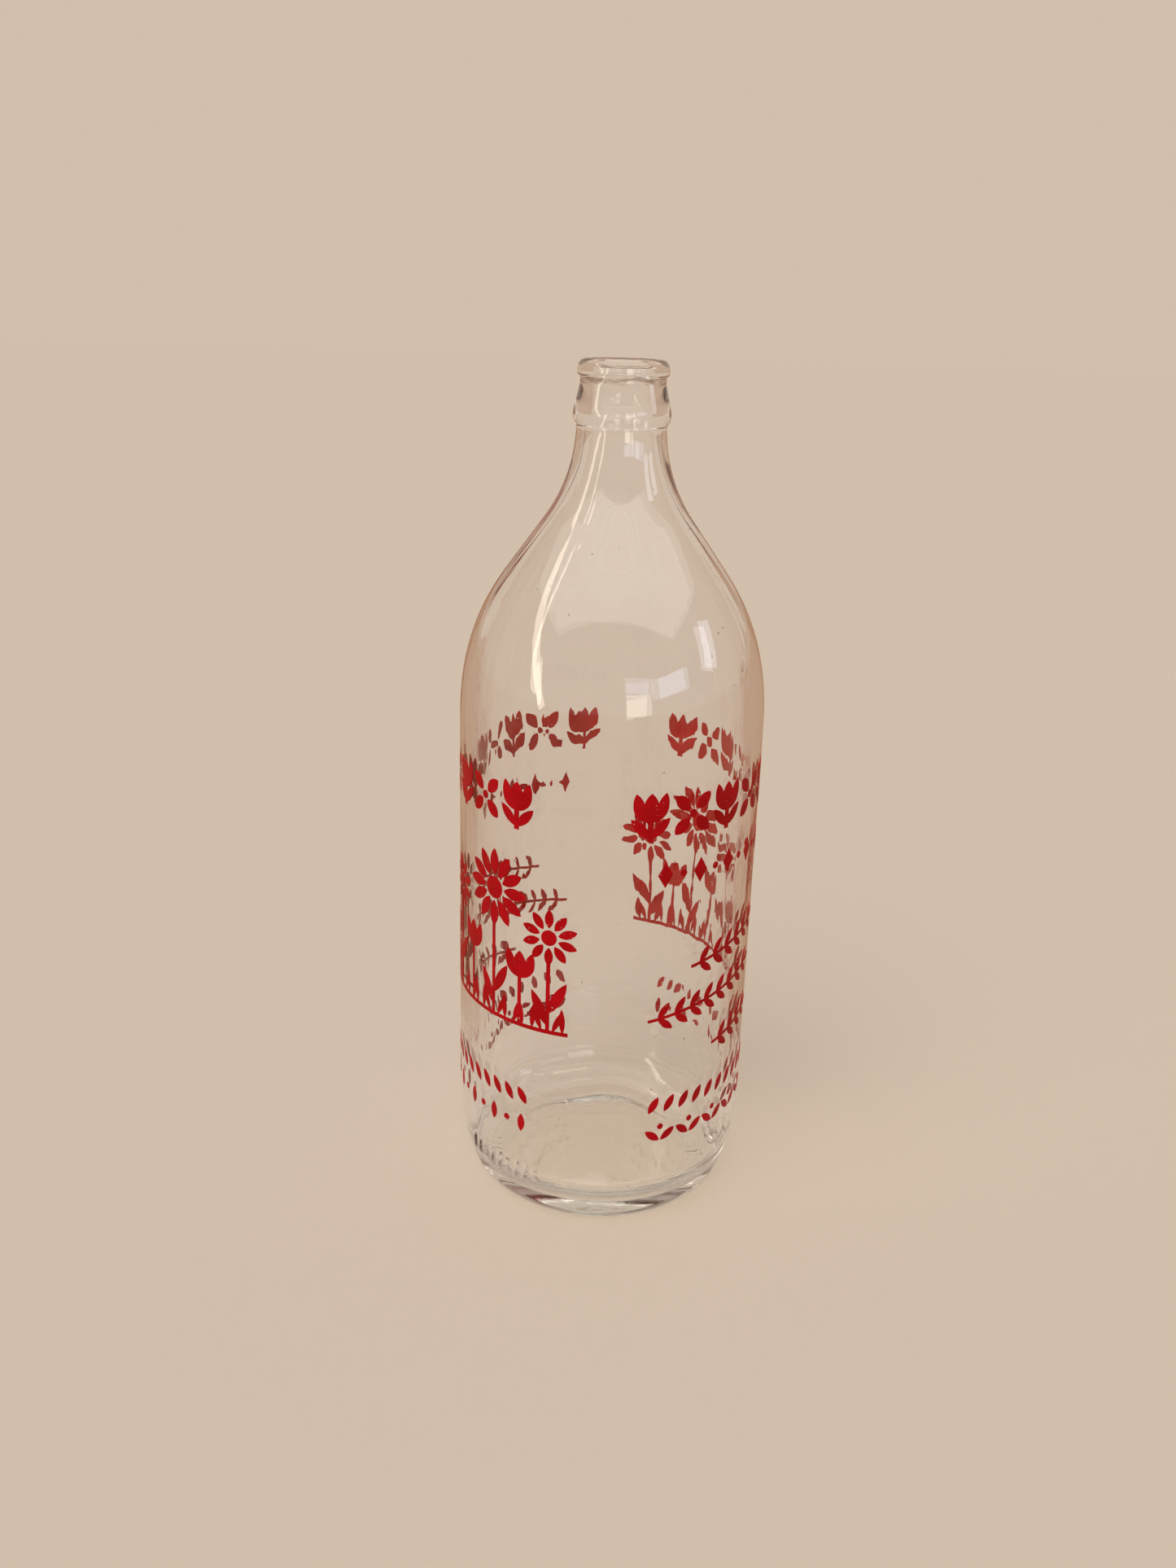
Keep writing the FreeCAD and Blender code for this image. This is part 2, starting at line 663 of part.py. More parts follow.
def sprig_rows(stencils):
    stamps = []
    for level, inset in SPRIG_START_ANGLES.items():
        count = copies(size("rows_angle") - inset, size("sprig_pitch")) - 1
        for number in range(count + 1):
            along_row = f"({number + 0.5} * sizes.sprig_pitch * cos(sizes.sprig_tilt) * {ARC_ANGLE})"
            angle = f"({ROWS_START} + {inset} + {along_row})"
            climb = f"({number - count / 2} * sizes.sprig_pitch * sin(sizes.sprig_tilt))"
            height = f"(derived.sprig_middle + {level} * derived.sprig_spacing + {climb})"
            reach = "sizes.sprig_leaf_length / 2"
            if number == count:
                stamps.append(stamp(stencils["sprig_leaf"], angle, height, "sizes.sprig_tilt"))
                continue
            stamps.append(stamp(stencils["sprig_stalk"], angle, height, "sizes.sprig_tilt"))
            for side in ("+", "-"):
                tilt = f"sizes.sprig_tilt {side} sizes.sprig_spread"
                stamps.append(stamp(stencils["sprig_leaf"], angle, height, tilt, reach))
    return stamps


def grain_row(stencils):
    angles = row_angles(ROWS_START, "rows_angle", "grain_pitch")
    return [stamp(stencils["grain"], angle, tie("grain_middle"), "sizes.grain_tilt") for angle in angles]


def seedling_row(stencils):
    stamps = []
    foot = "(derived.seedling_middle - sizes.seedling_leaf_length / 2)"
    dot = "(derived.seedling_middle + sizes.seedling_leaf_length / 2 - sizes.seedling_dot / 2)"
    reach = "sizes.seedling_gap + sizes.seedling_leaf_length / 2"
    for angle in row_angles(ROWS_START, "rows_angle", "seedling_pitch"):
        for tilt in ("sizes.seedling_tilt", "180 - sizes.seedling_tilt"):
            stamps.append(stamp(stencils["seedling_leaf"], angle, foot, tilt, reach))
        stamps.append(stamp(stencils["seedling_dot"], angle, dot))
    return stamps


def make_ground():
    """The strip of ground under the picture, as a wedge about the axis that reaches out through the film."""
    strip = document.addObject("Part::Cylinder", "ground_strip")
    strip.Angle = MEADOW_ANGLE
    strip.setExpression("Radius", f"derived.film_outside + {PRISM_PROUD}")
    strip.setExpression("Height", tie("ground_band"))
    turn = f"({PICTURE_CENTRE} - {MEADOW_ANGLE / 2 + SECTOR_START_ANGLE})"
    lift = tie("ground_foot")
    strip.setExpression("Placement", f"placement(vector(0; 0; {lift}); rotation(vector(0; 0; 1); {turn}))")
    return strip


def flower_picture(stencils):
    """A meadow: daisies and tulips on leafy stalks, in a tuft of grass."""
    stamps = [make_ground()]
    for number, (kind, turn, share) in enumerate(FLOWERS):
        angle = f"({PICTURE_CENTRE} + {turn})"
        height = f"(derived.ground + {share} * derived.picture_height)"
        if kind == "tulip":
            stamps.append(stamp(stencils["tulip"], angle, height))
        else:
            petal = kind.replace("daisy", "petal")
            disc = kind.replace("daisy", "disc")
            daisy = (petal, disc, "petal_gap", PETAL_COUNT[kind])
            stamps += ring_of_petals(stencils, *daisy, angle, height, DAISY_TURN_ANGLE)
        stalk = f"flower_stalk_{number}"
        stamps.append(stamp(stencils[stalk], angle, f"(derived.ground + derived.{stalk} / 2)", "90"))
    for turn, share, tilt in FLOWER_LEAVES:
        angle = f"({PICTURE_CENTRE} + {turn})"
        height = f"(derived.ground + {share} * derived.picture_height)"
        reach = "sizes.flower_leaf_length / 2"
        stamps.append(stamp(stencils["flower_leaf"], angle, height, f"{tilt}", reach))
    count = copies(MEADOW_ANGLE, size("blade_pitch"))
    for number in range(count):
        angle = f"({PICTURE_CENTRE} + {MEADOW_ANGLE} * ({number + 0.5} / {count} - 0.5))"
        lean = BLADE_LEAN_ANGLES[number % len(BLADE_LEAN_ANGLES)]
        stamps.append(stamp(stencils["blade"], angle, tie("ground"), f"{lean}", "sizes.blade_length / 2"))
    return stamps


def picture_footer(stencils):
    stamps = []
    for angle in row_angles(FOOTER_START, "footer_angle", "grain_pitch"):
        stamps.append(stamp(stencils["grain"], angle, tie("grain_middle"), "180 - sizes.grain_tilt"))
    kinds = ("grain", "diamond_dot")
    for number, angle in enumerate(row_angles(FOOTER_START, "footer_angle", "diamond_pitch")):
        stamps.append(stamp(stencils[kinds[number % len(kinds)]], angle, tie("seedling_middle"), "90"))
    return stamps


def make_right_panel(film, stencils):
    prints = {
        "headline_band": headline_band,
        "diamond_row": diamond_row,
        "sprig_rows": sprig_rows,
        "grain_row": grain_row,
        "seedling_row": seedling_row,
        "flower_picture": flower_picture,
        "picture_footer": picture_footer,
    }
    return [make_print(f"right_{name}", film, draw(stencils)) for name, draw in prints.items()]


def make_left_panel(right_panel):
    """The same screen printed once more, further round the body."""
    twins = []
    for enamel in right_panel:
        name = enamel.Label.replace("right", "left")
        twin = document.addObject("Part::Compound", name)
        twin.Label = name
        twin.Links = [enamel]
        turn = "sizes.left_panel_start - sizes.right_panel_start"
        twin.setExpression("Placement", f"placement(vector(0; 0; 0); rotation(vector(0; 0; 1); {turn}))")
        twins.append(twin)
    return twins


def write_parts(pieces):
    """Stops if anything failed to build, then writes a file for each piece."""
    failed = [item.Name for item in document.Objects if {"Invalid", "Error"} & set(item.State)]
    if failed:
        raise RuntimeError(f"these failed to build: {failed}")
    for piece in pieces:
        if piece.Shape.isNull() or not piece.Shape.isValid():
            raise RuntimeError(f"{piece.Label} has no valid shape")
    os.makedirs("parts", exist_ok=True)
    for piece in pieces:
        piece.Shape.exportStep(f"parts/{piece.Label}.step")
        print(piece.Label, "solids", len(piece.Shape.Solids), "volume", round(piece.Shape.Volume, 1))


glass = make_glass()
right_panel = make_right_panel(make_film(), make_stencils())
left_panel = make_left_panel(right_panel)
document.recompute()
write_parts([glass] + right_panel + left_panel)
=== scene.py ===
import math
import random

import bpy
import numpy as np
from mathutils import Euler, Matrix, Vector


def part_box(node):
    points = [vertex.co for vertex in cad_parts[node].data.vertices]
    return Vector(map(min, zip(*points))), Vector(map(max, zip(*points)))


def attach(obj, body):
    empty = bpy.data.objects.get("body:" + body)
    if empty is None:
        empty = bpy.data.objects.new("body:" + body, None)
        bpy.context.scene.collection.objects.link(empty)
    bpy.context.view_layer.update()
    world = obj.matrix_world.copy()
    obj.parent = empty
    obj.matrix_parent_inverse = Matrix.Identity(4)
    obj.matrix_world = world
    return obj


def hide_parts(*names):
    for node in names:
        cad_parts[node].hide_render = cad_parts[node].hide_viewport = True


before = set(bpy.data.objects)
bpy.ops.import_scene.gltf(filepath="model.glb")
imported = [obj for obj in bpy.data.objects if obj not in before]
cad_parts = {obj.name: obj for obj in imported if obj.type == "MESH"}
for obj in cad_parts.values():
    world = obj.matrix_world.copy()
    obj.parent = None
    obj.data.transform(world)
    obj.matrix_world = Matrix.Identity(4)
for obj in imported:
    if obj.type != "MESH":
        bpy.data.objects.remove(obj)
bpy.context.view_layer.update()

# A glass milk bottle with red enamel fired on to its body. Its sizes are in millimetres and degrees.
# Angles about the axis run from the front, at -Y, towards +X.

BODY = "root"
MM = 0.001
QUARTER = math.pi / 2

# Base and heel of the glass
FLOOR_THICKNESS = 8.6
FLOOR_RISE = 2.6
PUSH_UP = 3.4
BEARING_WIDTH = 3.0
TOE_RADIUS = 11.3
HEEL_RADIUS = 75.0
HEEL_HEIGHT = 32.0
INNER_HEEL_RADIUS = 12.0
# Body, shoulder and neck
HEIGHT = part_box("glass_bottle")[1].z / MM
BODY_RADIUS = 46.9
WALL = 4.2
SHOULDER_RADIUS = 70.4
SLANT_LENGTH = 19.6
FLARE_RADIUS = 45.7
NECK_WALL = 4.1
# Bead, locking ring and mouth
BEAD_STEP = 1.15
BEAD_FOOT = 2.9
BEAD_ROUND = 9.0
BEAD_CONE = 8.8
BORE_RADIUS = 9.0
FINISH_WALL = 4.3
RIM_FLAT = 0.4
MOUTH_ROUND = 1.2
RING_LAND = 1.6
RING_BEVEL = 0.8
RING_GROOVE = 1.6
RING_UNDERCUT = 0.9

# Spacing of the section's points, closest where the glass is most curved
BODY_SPACING = 2.0
SHOULDER_SPACING = 1.5
FLARE_SPACING = 1.2
BORE_SPACING = 0.8
BEAD_SPACING = 0.4
FINISH_SPACING = 0.2
PUSH_UP_SPACING = 1.5
FLOOR_SPACING = 1.0
HEEL_SPACING = 0.5
TOE_SPACING = 0.3
# Angles between the skin's columns: all round, at the marks on the heel and at the side seams
COLUMN_PITCH = 1.2
MARK_COLUMN_PITCH = 0.4
SEAM_COLUMN_PITCH = 0.3
# How far the closer columns reach: before the first mark, past the last one and to each side of a seam
MARK_COLUMNS_BEFORE = 5.0
MARK_COLUMNS_AFTER = 1.0
SEAM_COLUMNS_REACH = 2.4

# Lines that the joints of the mould leave: round the heel, round the base plate and up both sides
PARTING_HEIGHT = 14.6
PARTING_PROUD = 0.22
PARTING_WIDTH = 0.55
PLATE_SEAM_RADIUS = 38.0
PLATE_SEAM_PROUD = 0.16
PLATE_SEAM_WIDTH = 0.7
PLATE_SEAM_FADE = 6.0
SEAM_ANGLES = (-90.0, 90.0)
SEAM_PROUD = 0.12
SEAM_LABEL_PROUD = 0.03
SEAM_WIDTH = 0.9
SEAM_FADE = 1.0
# Raised bars and pairs of dots on the heel
MARK_COUNT = 9
MARK_START = -61.0
MARK_PITCH = 4.4
MARK_HEIGHT = 19.0
MARK_HALF_LENGTH = 2.6
MARK_LEAN = 0.9
MARK_DOTS_EVERY = 3
MARK_DOT_RISE = 1.6
MARK_PROUD = 0.6
MARK_WIDTH = 1.5
# Ring of fine notches under the base, which run out between two heights
NOTCH_COUNT = 96
NOTCH_DEPTH = 0.22
NOTCH_RADII = (30.0, 38.0)
NOTCH_FADE = 1.0
NOTCH_TOP = (3.0, 4.5)
# How far the blown glass wanders off its plain section: outside, outside under the print, and inside
OUTSIDE_WAVE = 0.06
LABEL_WAVE = 0.015
INSIDE_WAVE = 0.16
INSIDE_STREAK = 0.012
# What these waves are made of
OUTSIDE_RIPPLES = {"count": 14, "rounds": (2, 9), "lengths": (40, 120), "seed": 3}
INSIDE_RIPPLES = {"count": 16, "rounds": (2, 8), "lengths": (45, 140), "seed": 5}
STREAK_RIPPLES = {"count": 30, "rounds": (24, 60), "lengths": (60, 300), "seed": 8}
# Heights over which the waves set in, and depths under the flare's top over which the inside's end
OUTSIDE_WAVE_START = (8, 20)
INSIDE_WAVE_START = (8, 26)
INSIDE_WAVE_END = (30, 5)
# Lengths over which the smoother glass under the print ends, and over which all relief ends at the neck
LABEL_FADE = 8
FINISH_FADE = 2
# How far the skin stands into the enamel, so that the print is seated in it, and the length it fades over
ENAMEL_SEAT = 0.05
SEAT_FADE = 3

# Finish of the glass: its colour and what it takes from light, waves that are longer up the bottle than
# round it, and the mould's peel
GLASS_COLOUR = "#FFFFFF"
GLASS_SHADOW_COLOUR = "#FDFDFC"
GLASS_TINT = "#BFC3BC"
GLASS_DENSITY = 6.5
SKIN_WAVE_SPACING = 3.5
SKIN_WAVE_HEIGHT = 0.022
SKIN_WAVE_SQUEEZE = (1.0, 1.0, 0.3)
PEEL_SPACING = 1.1
PEEL_HEIGHT = 0.0015
# Bubbles: one to a cell, with the radii of its edge and of its top as shares of the cell
BUBBLE_SPACING = 7
BUBBLE_HEIGHT = 0.12
BUBBLE_RADII = (0.055, 0.02)
# Wear on the ring that the bottle stands on: heights and radii between which it sets in
WORN_HEIGHTS = (2.2, 0.5)
WORN_RADII = (27, 29)
WORN_ROUGHNESS = 0.3
# Dirt in the groove under the locking ring, in smears that are much longer than high. It sets in between
# two shares of their noise, and covers the glass only in part.
DIRT_COLOUR = "#6B4424"
DIRT_SMEAR_HEIGHT = 1.0
DIRT_SMEAR_SQUEEZE = (0.2, 0.2, 1.0)
DIRT_PATCHES = (0.44, 0.68)
DIRT_COVER = 0.5
# Finish of the enamel: its two reds, and the sizes of its clouds, its powder's grain and its pinholes. The
# clouds and the pinholes set in between two shares of their noise.
ENAMEL_DARK = "#9A0208"
ENAMEL_LIGHT = "#AE0510"
CLOUD_SPACING = 9
CLOUD_EDGES = (0.3, 0.7)
POWDER_SPACING = 0.5
POWDER_HEIGHT = 0.01
PINHOLE_SPACING = 0.7
PINHOLE_EDGES = (0.30, 0.24)
# Distance to each side of the axis over which the film's front gives way to its back
FILM_EDGE = 2

# Camera of the photograph: focal length and picture size in its pixels, place in metres, turns in degrees
PICTURE_HEIGHT = 1926
FOCAL_PIXELS = 1650
SENSOR = 36.0
CAMERA_PLACE = (-0.0067, -0.4025, 0.2732)
CAMERA_PITCH = 18.84
CAMERA_ROLL = 1.71
CLIP_START = 0.01

# Stage: its colours, the strength of its light, and its sizes in metres. The mirrored floor's colour sets
# in between two distances from the bottle.
FLOOR_COLOUR = "#C8B9AA"
MIRRORED_FLOOR_COLOUR = "#A98468"
MIRRORED_FLOOR_START = (0.08, 0.16)
FLOOR_HALF = 12.0
BACKDROP_COLOUR = "#D2BFAC"
AMBIENT_COLOUR = "#FFFCF8"
AMBIENT = 0.5
KEY_COLOUR = "#FFFAF3"
KEY_STRENGTH = 2.45
KEY_SPREAD = 50
KEY_AZIMUTH = -28
KEY_ELEVATION = 52
PANEL_AIM = (0, 0, 0.19)
# Bounces that light may make in the glass
MIRROR_BOUNCES = 32
PASSING_BOUNCES = 40
SHADOW_BOUNCES = 24

# Sizes that follow from these
NECK_RADIUS = BORE_RADIUS + NECK_WALL
BEAD_RADIUS = NECK_RADIUS + BEAD_STEP
RING_RADIUS = BORE_RADIUS + FINISH_WALL
GROOVE_RADIUS = RING_RADIUS - RING_UNDERCUT
LIP_ROUND = FINISH_WALL - RIM_FLAT - MOUTH_ROUND
RING_TOP = HEIGHT - LIP_ROUND
RING_LOW = RING_TOP - RING_LAND
RING_FOOT = RING_LOW - RING_BEVEL
CONE_TOP = RING_FOOT - RING_GROOVE
BEAD_MIDDLE = CONE_TOP - BEAD_CONE
FLARE_TOP = BEAD_MIDDLE - BEAD_FOOT
ARCS_ACROSS = NECK_RADIUS + FLARE_RADIUS - BODY_RADIUS + SHOULDER_RADIUS
ARCS_REACH = FLARE_RADIUS + SHOULDER_RADIUS
SHOULDER_START = FLARE_TOP - math.sqrt(ARCS_REACH ** 2 + SLANT_LENGTH ** 2 - ARCS_ACROSS ** 2)
SHOULDER_CENTRE = (BODY_RADIUS - SHOULDER_RADIUS, SHOULDER_START)
FLARE_CENTRE = (NECK_RADIUS + FLARE_RADIUS, FLARE_TOP)
INNER_BODY = BODY_RADIUS - WALL
# Heights over which the dirt under the locking ring sets in, and over which it ends
DIRT_START = (CONE_TOP - 0.5, CONE_TOP + 0.3)
DIRT_END = (RING_LOW + 0.3, RING_FOOT)


# Section of the glass, as (distance from the axis, height)

def arc(centre, radius, start, end, step):
    """Points on an arc from the angle start to the angle end, in radians, about a step apart."""
    count = max(2, math.ceil(abs(end - start) * radius / step))
    angles = [start + (end - start) * number / count for number in range(count + 1)]
    across, up = centre
    return [(across + radius * math.cos(angle), up + radius * math.sin(angle)) for angle in angles]


def line(start, end, step):
    """Points on a straight line, about a step apart."""
    count = max(1, math.ceil(math.dist(start, end) / step))
    shares = [number / count for number in range(count + 1)]
    return [(start[0] + (end[0] - start[0]) * t, start[1] + (end[1] - start[1]) * t) for t in shares]


def arc_radius(across, up):
    """Radius of an arc that leaves a level or upright line and moves off it by across over up."""
    return (across ** 2 + up ** 2) / (2 * across)


def slant_angle(shoulder_radius, flare_radius):
    """Angle of the normal of the line that touches the shoulder's arc and the neck's flare."""
    across = FLARE_CENTRE[0] - SHOULDER_CENTRE[0]
    up = FLARE_CENTRE[1] - SHOULDER_CENTRE[1]
    turn = math.acos((shoulder_radius + flare_radius) / math.hypot(across, up))
    return math.atan2(up, across) - turn


def chain(*runs):
    """One list of points from runs that each start where the last one ended."""
    points = []
    for run in runs:
        points += run if not points else run[1:]
    return points


def outer_section():
    """Outside of the glass, from the middle of the base to the top of the rim."""
    heel_centre = (BODY_RADIUS - HEEL_RADIUS, HEEL_HEIGHT)
    toe_reach = HEEL_RADIUS - TOE_RADIUS
    toe_drop = HEEL_HEIGHT - TOE_RADIUS
    toe_centre = (heel_centre[0] + math.sqrt(toe_reach ** 2 - toe_drop ** 2), TOE_RADIUS)
    toe_end = -math.asin(toe_drop / toe_reach)
    bearing_inner = toe_centre[0] - BEARING_WIDTH
    dome = arc_radius(PUSH_UP, bearing_inner)
    dome_edge = math.acos(bearing_inner / dome)
    slope = slant_angle(SHOULDER_RADIUS, FLARE_RADIUS)
    shoulder = arc(SHOULDER_CENTRE, SHOULDER_RADIUS, 0.0, slope, SHOULDER_SPACING)
    flare = arc(FLARE_CENTRE, FLARE_RADIUS, math.pi + slope, math.pi, FLARE_SPACING)
    foot = arc_radius(BEAD_RADIUS - NECK_RADIUS, BEAD_FOOT)
    foot_start = -math.asin(BEAD_FOOT / foot)
    round_centre = (BEAD_RADIUS - BEAD_ROUND, BEAD_MIDDLE)
    cone_across = GROOVE_RADIUS - round_centre[0]
    cone_turn = math.acos(BEAD_ROUND / math.hypot(cone_across, BEAD_CONE))
    cone_start = math.atan2(BEAD_CONE, cone_across) - cone_turn
    bead = arc(round_centre, BEAD_ROUND, 0.0, cone_start, BEAD_SPACING)
    return chain(
        arc((0.0, PUSH_UP - dome), dome, QUARTER, dome_edge, PUSH_UP_SPACING),
        line((bearing_inner, 0.0), (toe_centre[0], 0.0), TOE_SPACING),
        arc(toe_centre, TOE_RADIUS, -QUARTER, toe_end, TOE_SPACING),
        arc(heel_centre, HEEL_RADIUS, toe_end, 0.0, HEEL_SPACING),
        line((BODY_RADIUS, HEEL_HEIGHT), (BODY_RADIUS, SHOULDER_START), BODY_SPACING),
        shoulder,
        line(shoulder[-1], flare[0], SHOULDER_SPACING),
        flare,
        arc((BEAD_RADIUS - foot, BEAD_MIDDLE), foot, foot_start, 0.0, FINISH_SPACING),
        bead,
        line(bead[-1], (GROOVE_RADIUS, CONE_TOP), BEAD_SPACING),
        line((GROOVE_RADIUS, CONE_TOP), (GROOVE_RADIUS, RING_FOOT), FINISH_SPACING),
        line((GROOVE_RADIUS, RING_FOOT), (RING_RADIUS, RING_LOW), FINISH_SPACING),
        line((RING_RADIUS, RING_LOW), (RING_RADIUS, RING_TOP), FINISH_SPACING),
        arc((RING_RADIUS - LIP_ROUND, RING_TOP), LIP_ROUND, 0.0, QUARTER, FINISH_SPACING),
    )


def inner_section():
    """Inside of the glass, from the top of the rim to the middle of the floor."""
    shoulder_radius = SHOULDER_RADIUS - WALL
    flare_radius = FLARE_RADIUS + NECK_WALL
    slope = slant_angle(shoulder_radius, flare_radius)
    flare = arc(FLARE_CENTRE, flare_radius, math.pi, math.pi + slope, FLARE_SPACING)
    shoulder = arc(SHOULDER_CENTRE, shoulder_radius, slope, 0.0, SHOULDER_SPACING)
    mouth_centre = (BORE_RADIUS + MOUTH_ROUND, HEIGHT - MOUTH_ROUND)
    heel_centre = (INNER_BODY - INNER_HEEL_RADIUS, FLOOR_THICKNESS + INNER_HEEL_RADIUS)
    floor = arc_radius(FLOOR_RISE, heel_centre[0])
    floor_edge = math.acos(heel_centre[0] / floor)
    floor_centre = (0.0, FLOOR_THICKNESS + FLOOR_RISE - floor)
    return chain(
        line((RING_RADIUS - LIP_ROUND, HEIGHT), (mouth_centre[0], HEIGHT), FINISH_SPACING),
        arc(mouth_centre, MOUTH_ROUND, QUARTER, math.pi, FINISH_SPACING),
        line((BORE_RADIUS, mouth_centre[1]), (BORE_RADIUS, FLARE_TOP), BORE_SPACING),
        flare,
        line(flare[-1], shoulder[0], SHOULDER_SPACING),
        shoulder,
        line((INNER_BODY, SHOULDER_START), (INNER_BODY, heel_centre[1]), BODY_SPACING),
        arc(heel_centre, INNER_HEEL_RADIUS, 0.0, -QUARTER, HEEL_SPACING),
        arc(floor_centre, floor, floor_edge, QUARTER, FLOOR_SPACING),
    )


def smooth_section(points, passes=3):
    """Rounds the section's corners a little, as fire-polished glass has none."""
    section = np.array(points)
    for _ in range(passes):
        section[1:-1] = 0.5 * section[1:-1] + 0.25 * (section[:-2] + section[2:])
    return section


def section_normals(section):
    """Unit normals of a section, to the right of its direction."""
    along = np.gradient(section, axis=0)
    along /= np.linalg.norm(along, axis=1, keepdims=True)
    return np.stack([along[:, 1], -along[:, 0]], axis=1)


# Relief of the glass

def ramp(low, high, value):
    """0 below low, 1 above high, and smooth between them."""
    share = np.clip((value - low) / (high - low), 0.0, 1.0)
    return share * share * (3 - 2 * share)


def ridge(distance, width):
    """A round ridge, 1 at its crest and next to nothing a width away."""
    return np.exp(-(2 * distance / width) ** 2)


def ripples(turn, up, count, rounds, lengths, seed):
    """Smooth waves round and up the glass, between -1 and 1 or so.

    rounds is the range of waves in a turn, and lengths the range of a wave's height in millimetres.
    """
    draw = random.Random(seed)
    total = np.zeros(np.broadcast(turn, up).shape)
    for _ in range(count):
        number = draw.randint(*rounds)
        rate = 2 * math.pi / draw.uniform(*lengths) * draw.choice((-1, 1))
        total += np.cos(number * turn + rate * up + draw.uniform(0, 2 * math.pi))
    return total / math.sqrt(count)


def apart(turn, angle):
    """Angle between turns and an angle in degrees, the short way round."""
    return (turn - math.radians(angle) + math.pi) % (2 * math.pi) - math.pi


def heel_marks(turn, up):
    """A row of slanted bars on the heel, with a pair of dots in place of every third."""
    total = np.zeros(np.broadcast(turn, up).shape)
    rise = up - MARK_HEIGHT
    for number in range(MARK_COUNT):
        across = apart(turn, MARK_START + MARK_PITCH * number) * BODY_RADIUS
        if (number + 1) % MARK_DOTS_EVERY == 0:
            for dot in (-MARK_DOT_RISE, MARK_DOT_RISE):
                total = np.maximum(total, ridge(np.hypot(across, rise - dot), MARK_WIDTH))
            continue
        along = np.clip(rise, -MARK_HALF_LENGTH, MARK_HALF_LENGTH)
        away = np.hypot(across - MARK_LEAN * along / MARK_HALF_LENGTH, rise - along)
        total = np.maximum(total, ridge(away, MARK_WIDTH))
    return total


def mould_lines(turn, up, radius, label):
    """The lines of the mould's joints, lower where the print lies."""
    above_heel = ramp(PARTING_HEIGHT - SEAM_FADE, PARTING_HEIGHT, up)
    under_heel = 1 - ramp(PARTING_HEIGHT - PLATE_SEAM_FADE, PARTING_HEIGHT, up)
    lines = PARTING_PROUD * ridge(up - PARTING_HEIGHT, PARTING_WIDTH)
    lines = lines + PLATE_SEAM_PROUD * under_heel * ridge(radius - PLATE_SEAM_RADIUS, PLATE_SEAM_WIDTH)
    proud = SEAM_PROUD + (SEAM_LABEL_PROUD - SEAM_PROUD) * label
    for angle in SEAM_ANGLES:
        lines = lines + proud * above_heel * ridge(apart(turn, angle) * radius, SEAM_WIDTH)
    return lines


def base_notches(turn, up, radius):
    """A ring of fine notches that keeps the hot bottle off the conveyor."""
    inner, outer = NOTCH_RADII
    ring = ramp(inner, inner + NOTCH_FADE, radius) * (1 - ramp(outer - NOTCH_FADE, outer, radius))
    ring = ring * (1 - ramp(*NOTCH_TOP, up))
    return ring * (0.5 + 0.5 * np.cos(NOTCH_COUNT * turn)) ** 2


def on_body(up, fade):
    """1 on the straight body, which bears the print, running out to 0 over a fade above and below it."""
    above_heel = ramp(HEEL_HEIGHT - fade, HEEL_HEIGHT, up)
    return above_heel * (1 - ramp(SHOULDER_START, SHOULDER_START + fade, up))


def outside_relief(turn, up, radius):
    """How far the outside stands off its plain section."""
    label = on_body(up, LABEL_FADE)
    seat = on_body(up, SEAT_FADE)
    wave = ripples(turn, up, **OUTSIDE_RIPPLES) * ramp(*OUTSIDE_WAVE_START, up)
    relief = ENAMEL_SEAT * seat + (OUTSIDE_WAVE + (LABEL_WAVE - OUTSIDE_WAVE) * label) * wave
    relief = relief + mould_lines(turn, up, radius, label) + MARK_PROUD * heel_marks(turn, up)
    return relief - NOTCH_DEPTH * base_notches(turn, up, radius)


def inside_relief(turn, up):
    """How far the inside, shaped by breath alone, wanders off its plain section."""
    slow = INSIDE_WAVE * ripples(turn, up, **INSIDE_RIPPLES)
    streaks = INSIDE_STREAK * ripples(turn, up, **STREAK_RIPPLES)
    end = [FLARE_TOP - depth for depth in INSIDE_WAVE_END]
    return (slow + streaks) * ramp(*INSIDE_WAVE_START, up) * (1 - ramp(*end, up))


def column_angles():
    """Angles of the skin's columns, close together at the marks on the heel and at the side seams."""
    marks_start = MARK_START - MARK_COLUMNS_BEFORE
    marks_end = MARK_START + MARK_PITCH * MARK_COUNT + MARK_COLUMNS_AFTER
    runs = [np.arange(0.0, 360.0, COLUMN_PITCH), np.arange(marks_start, marks_end, MARK_COLUMN_PITCH)]
    for angle in SEAM_ANGLES:
        past_end = angle + SEAM_COLUMNS_REACH + SEAM_COLUMN_PITCH / 2
        runs.append(np.arange(angle - SEAM_COLUMNS_REACH, past_end, SEAM_COLUMN_PITCH))
    return np.unique(np.round(np.concatenate(runs) % 360, 2))


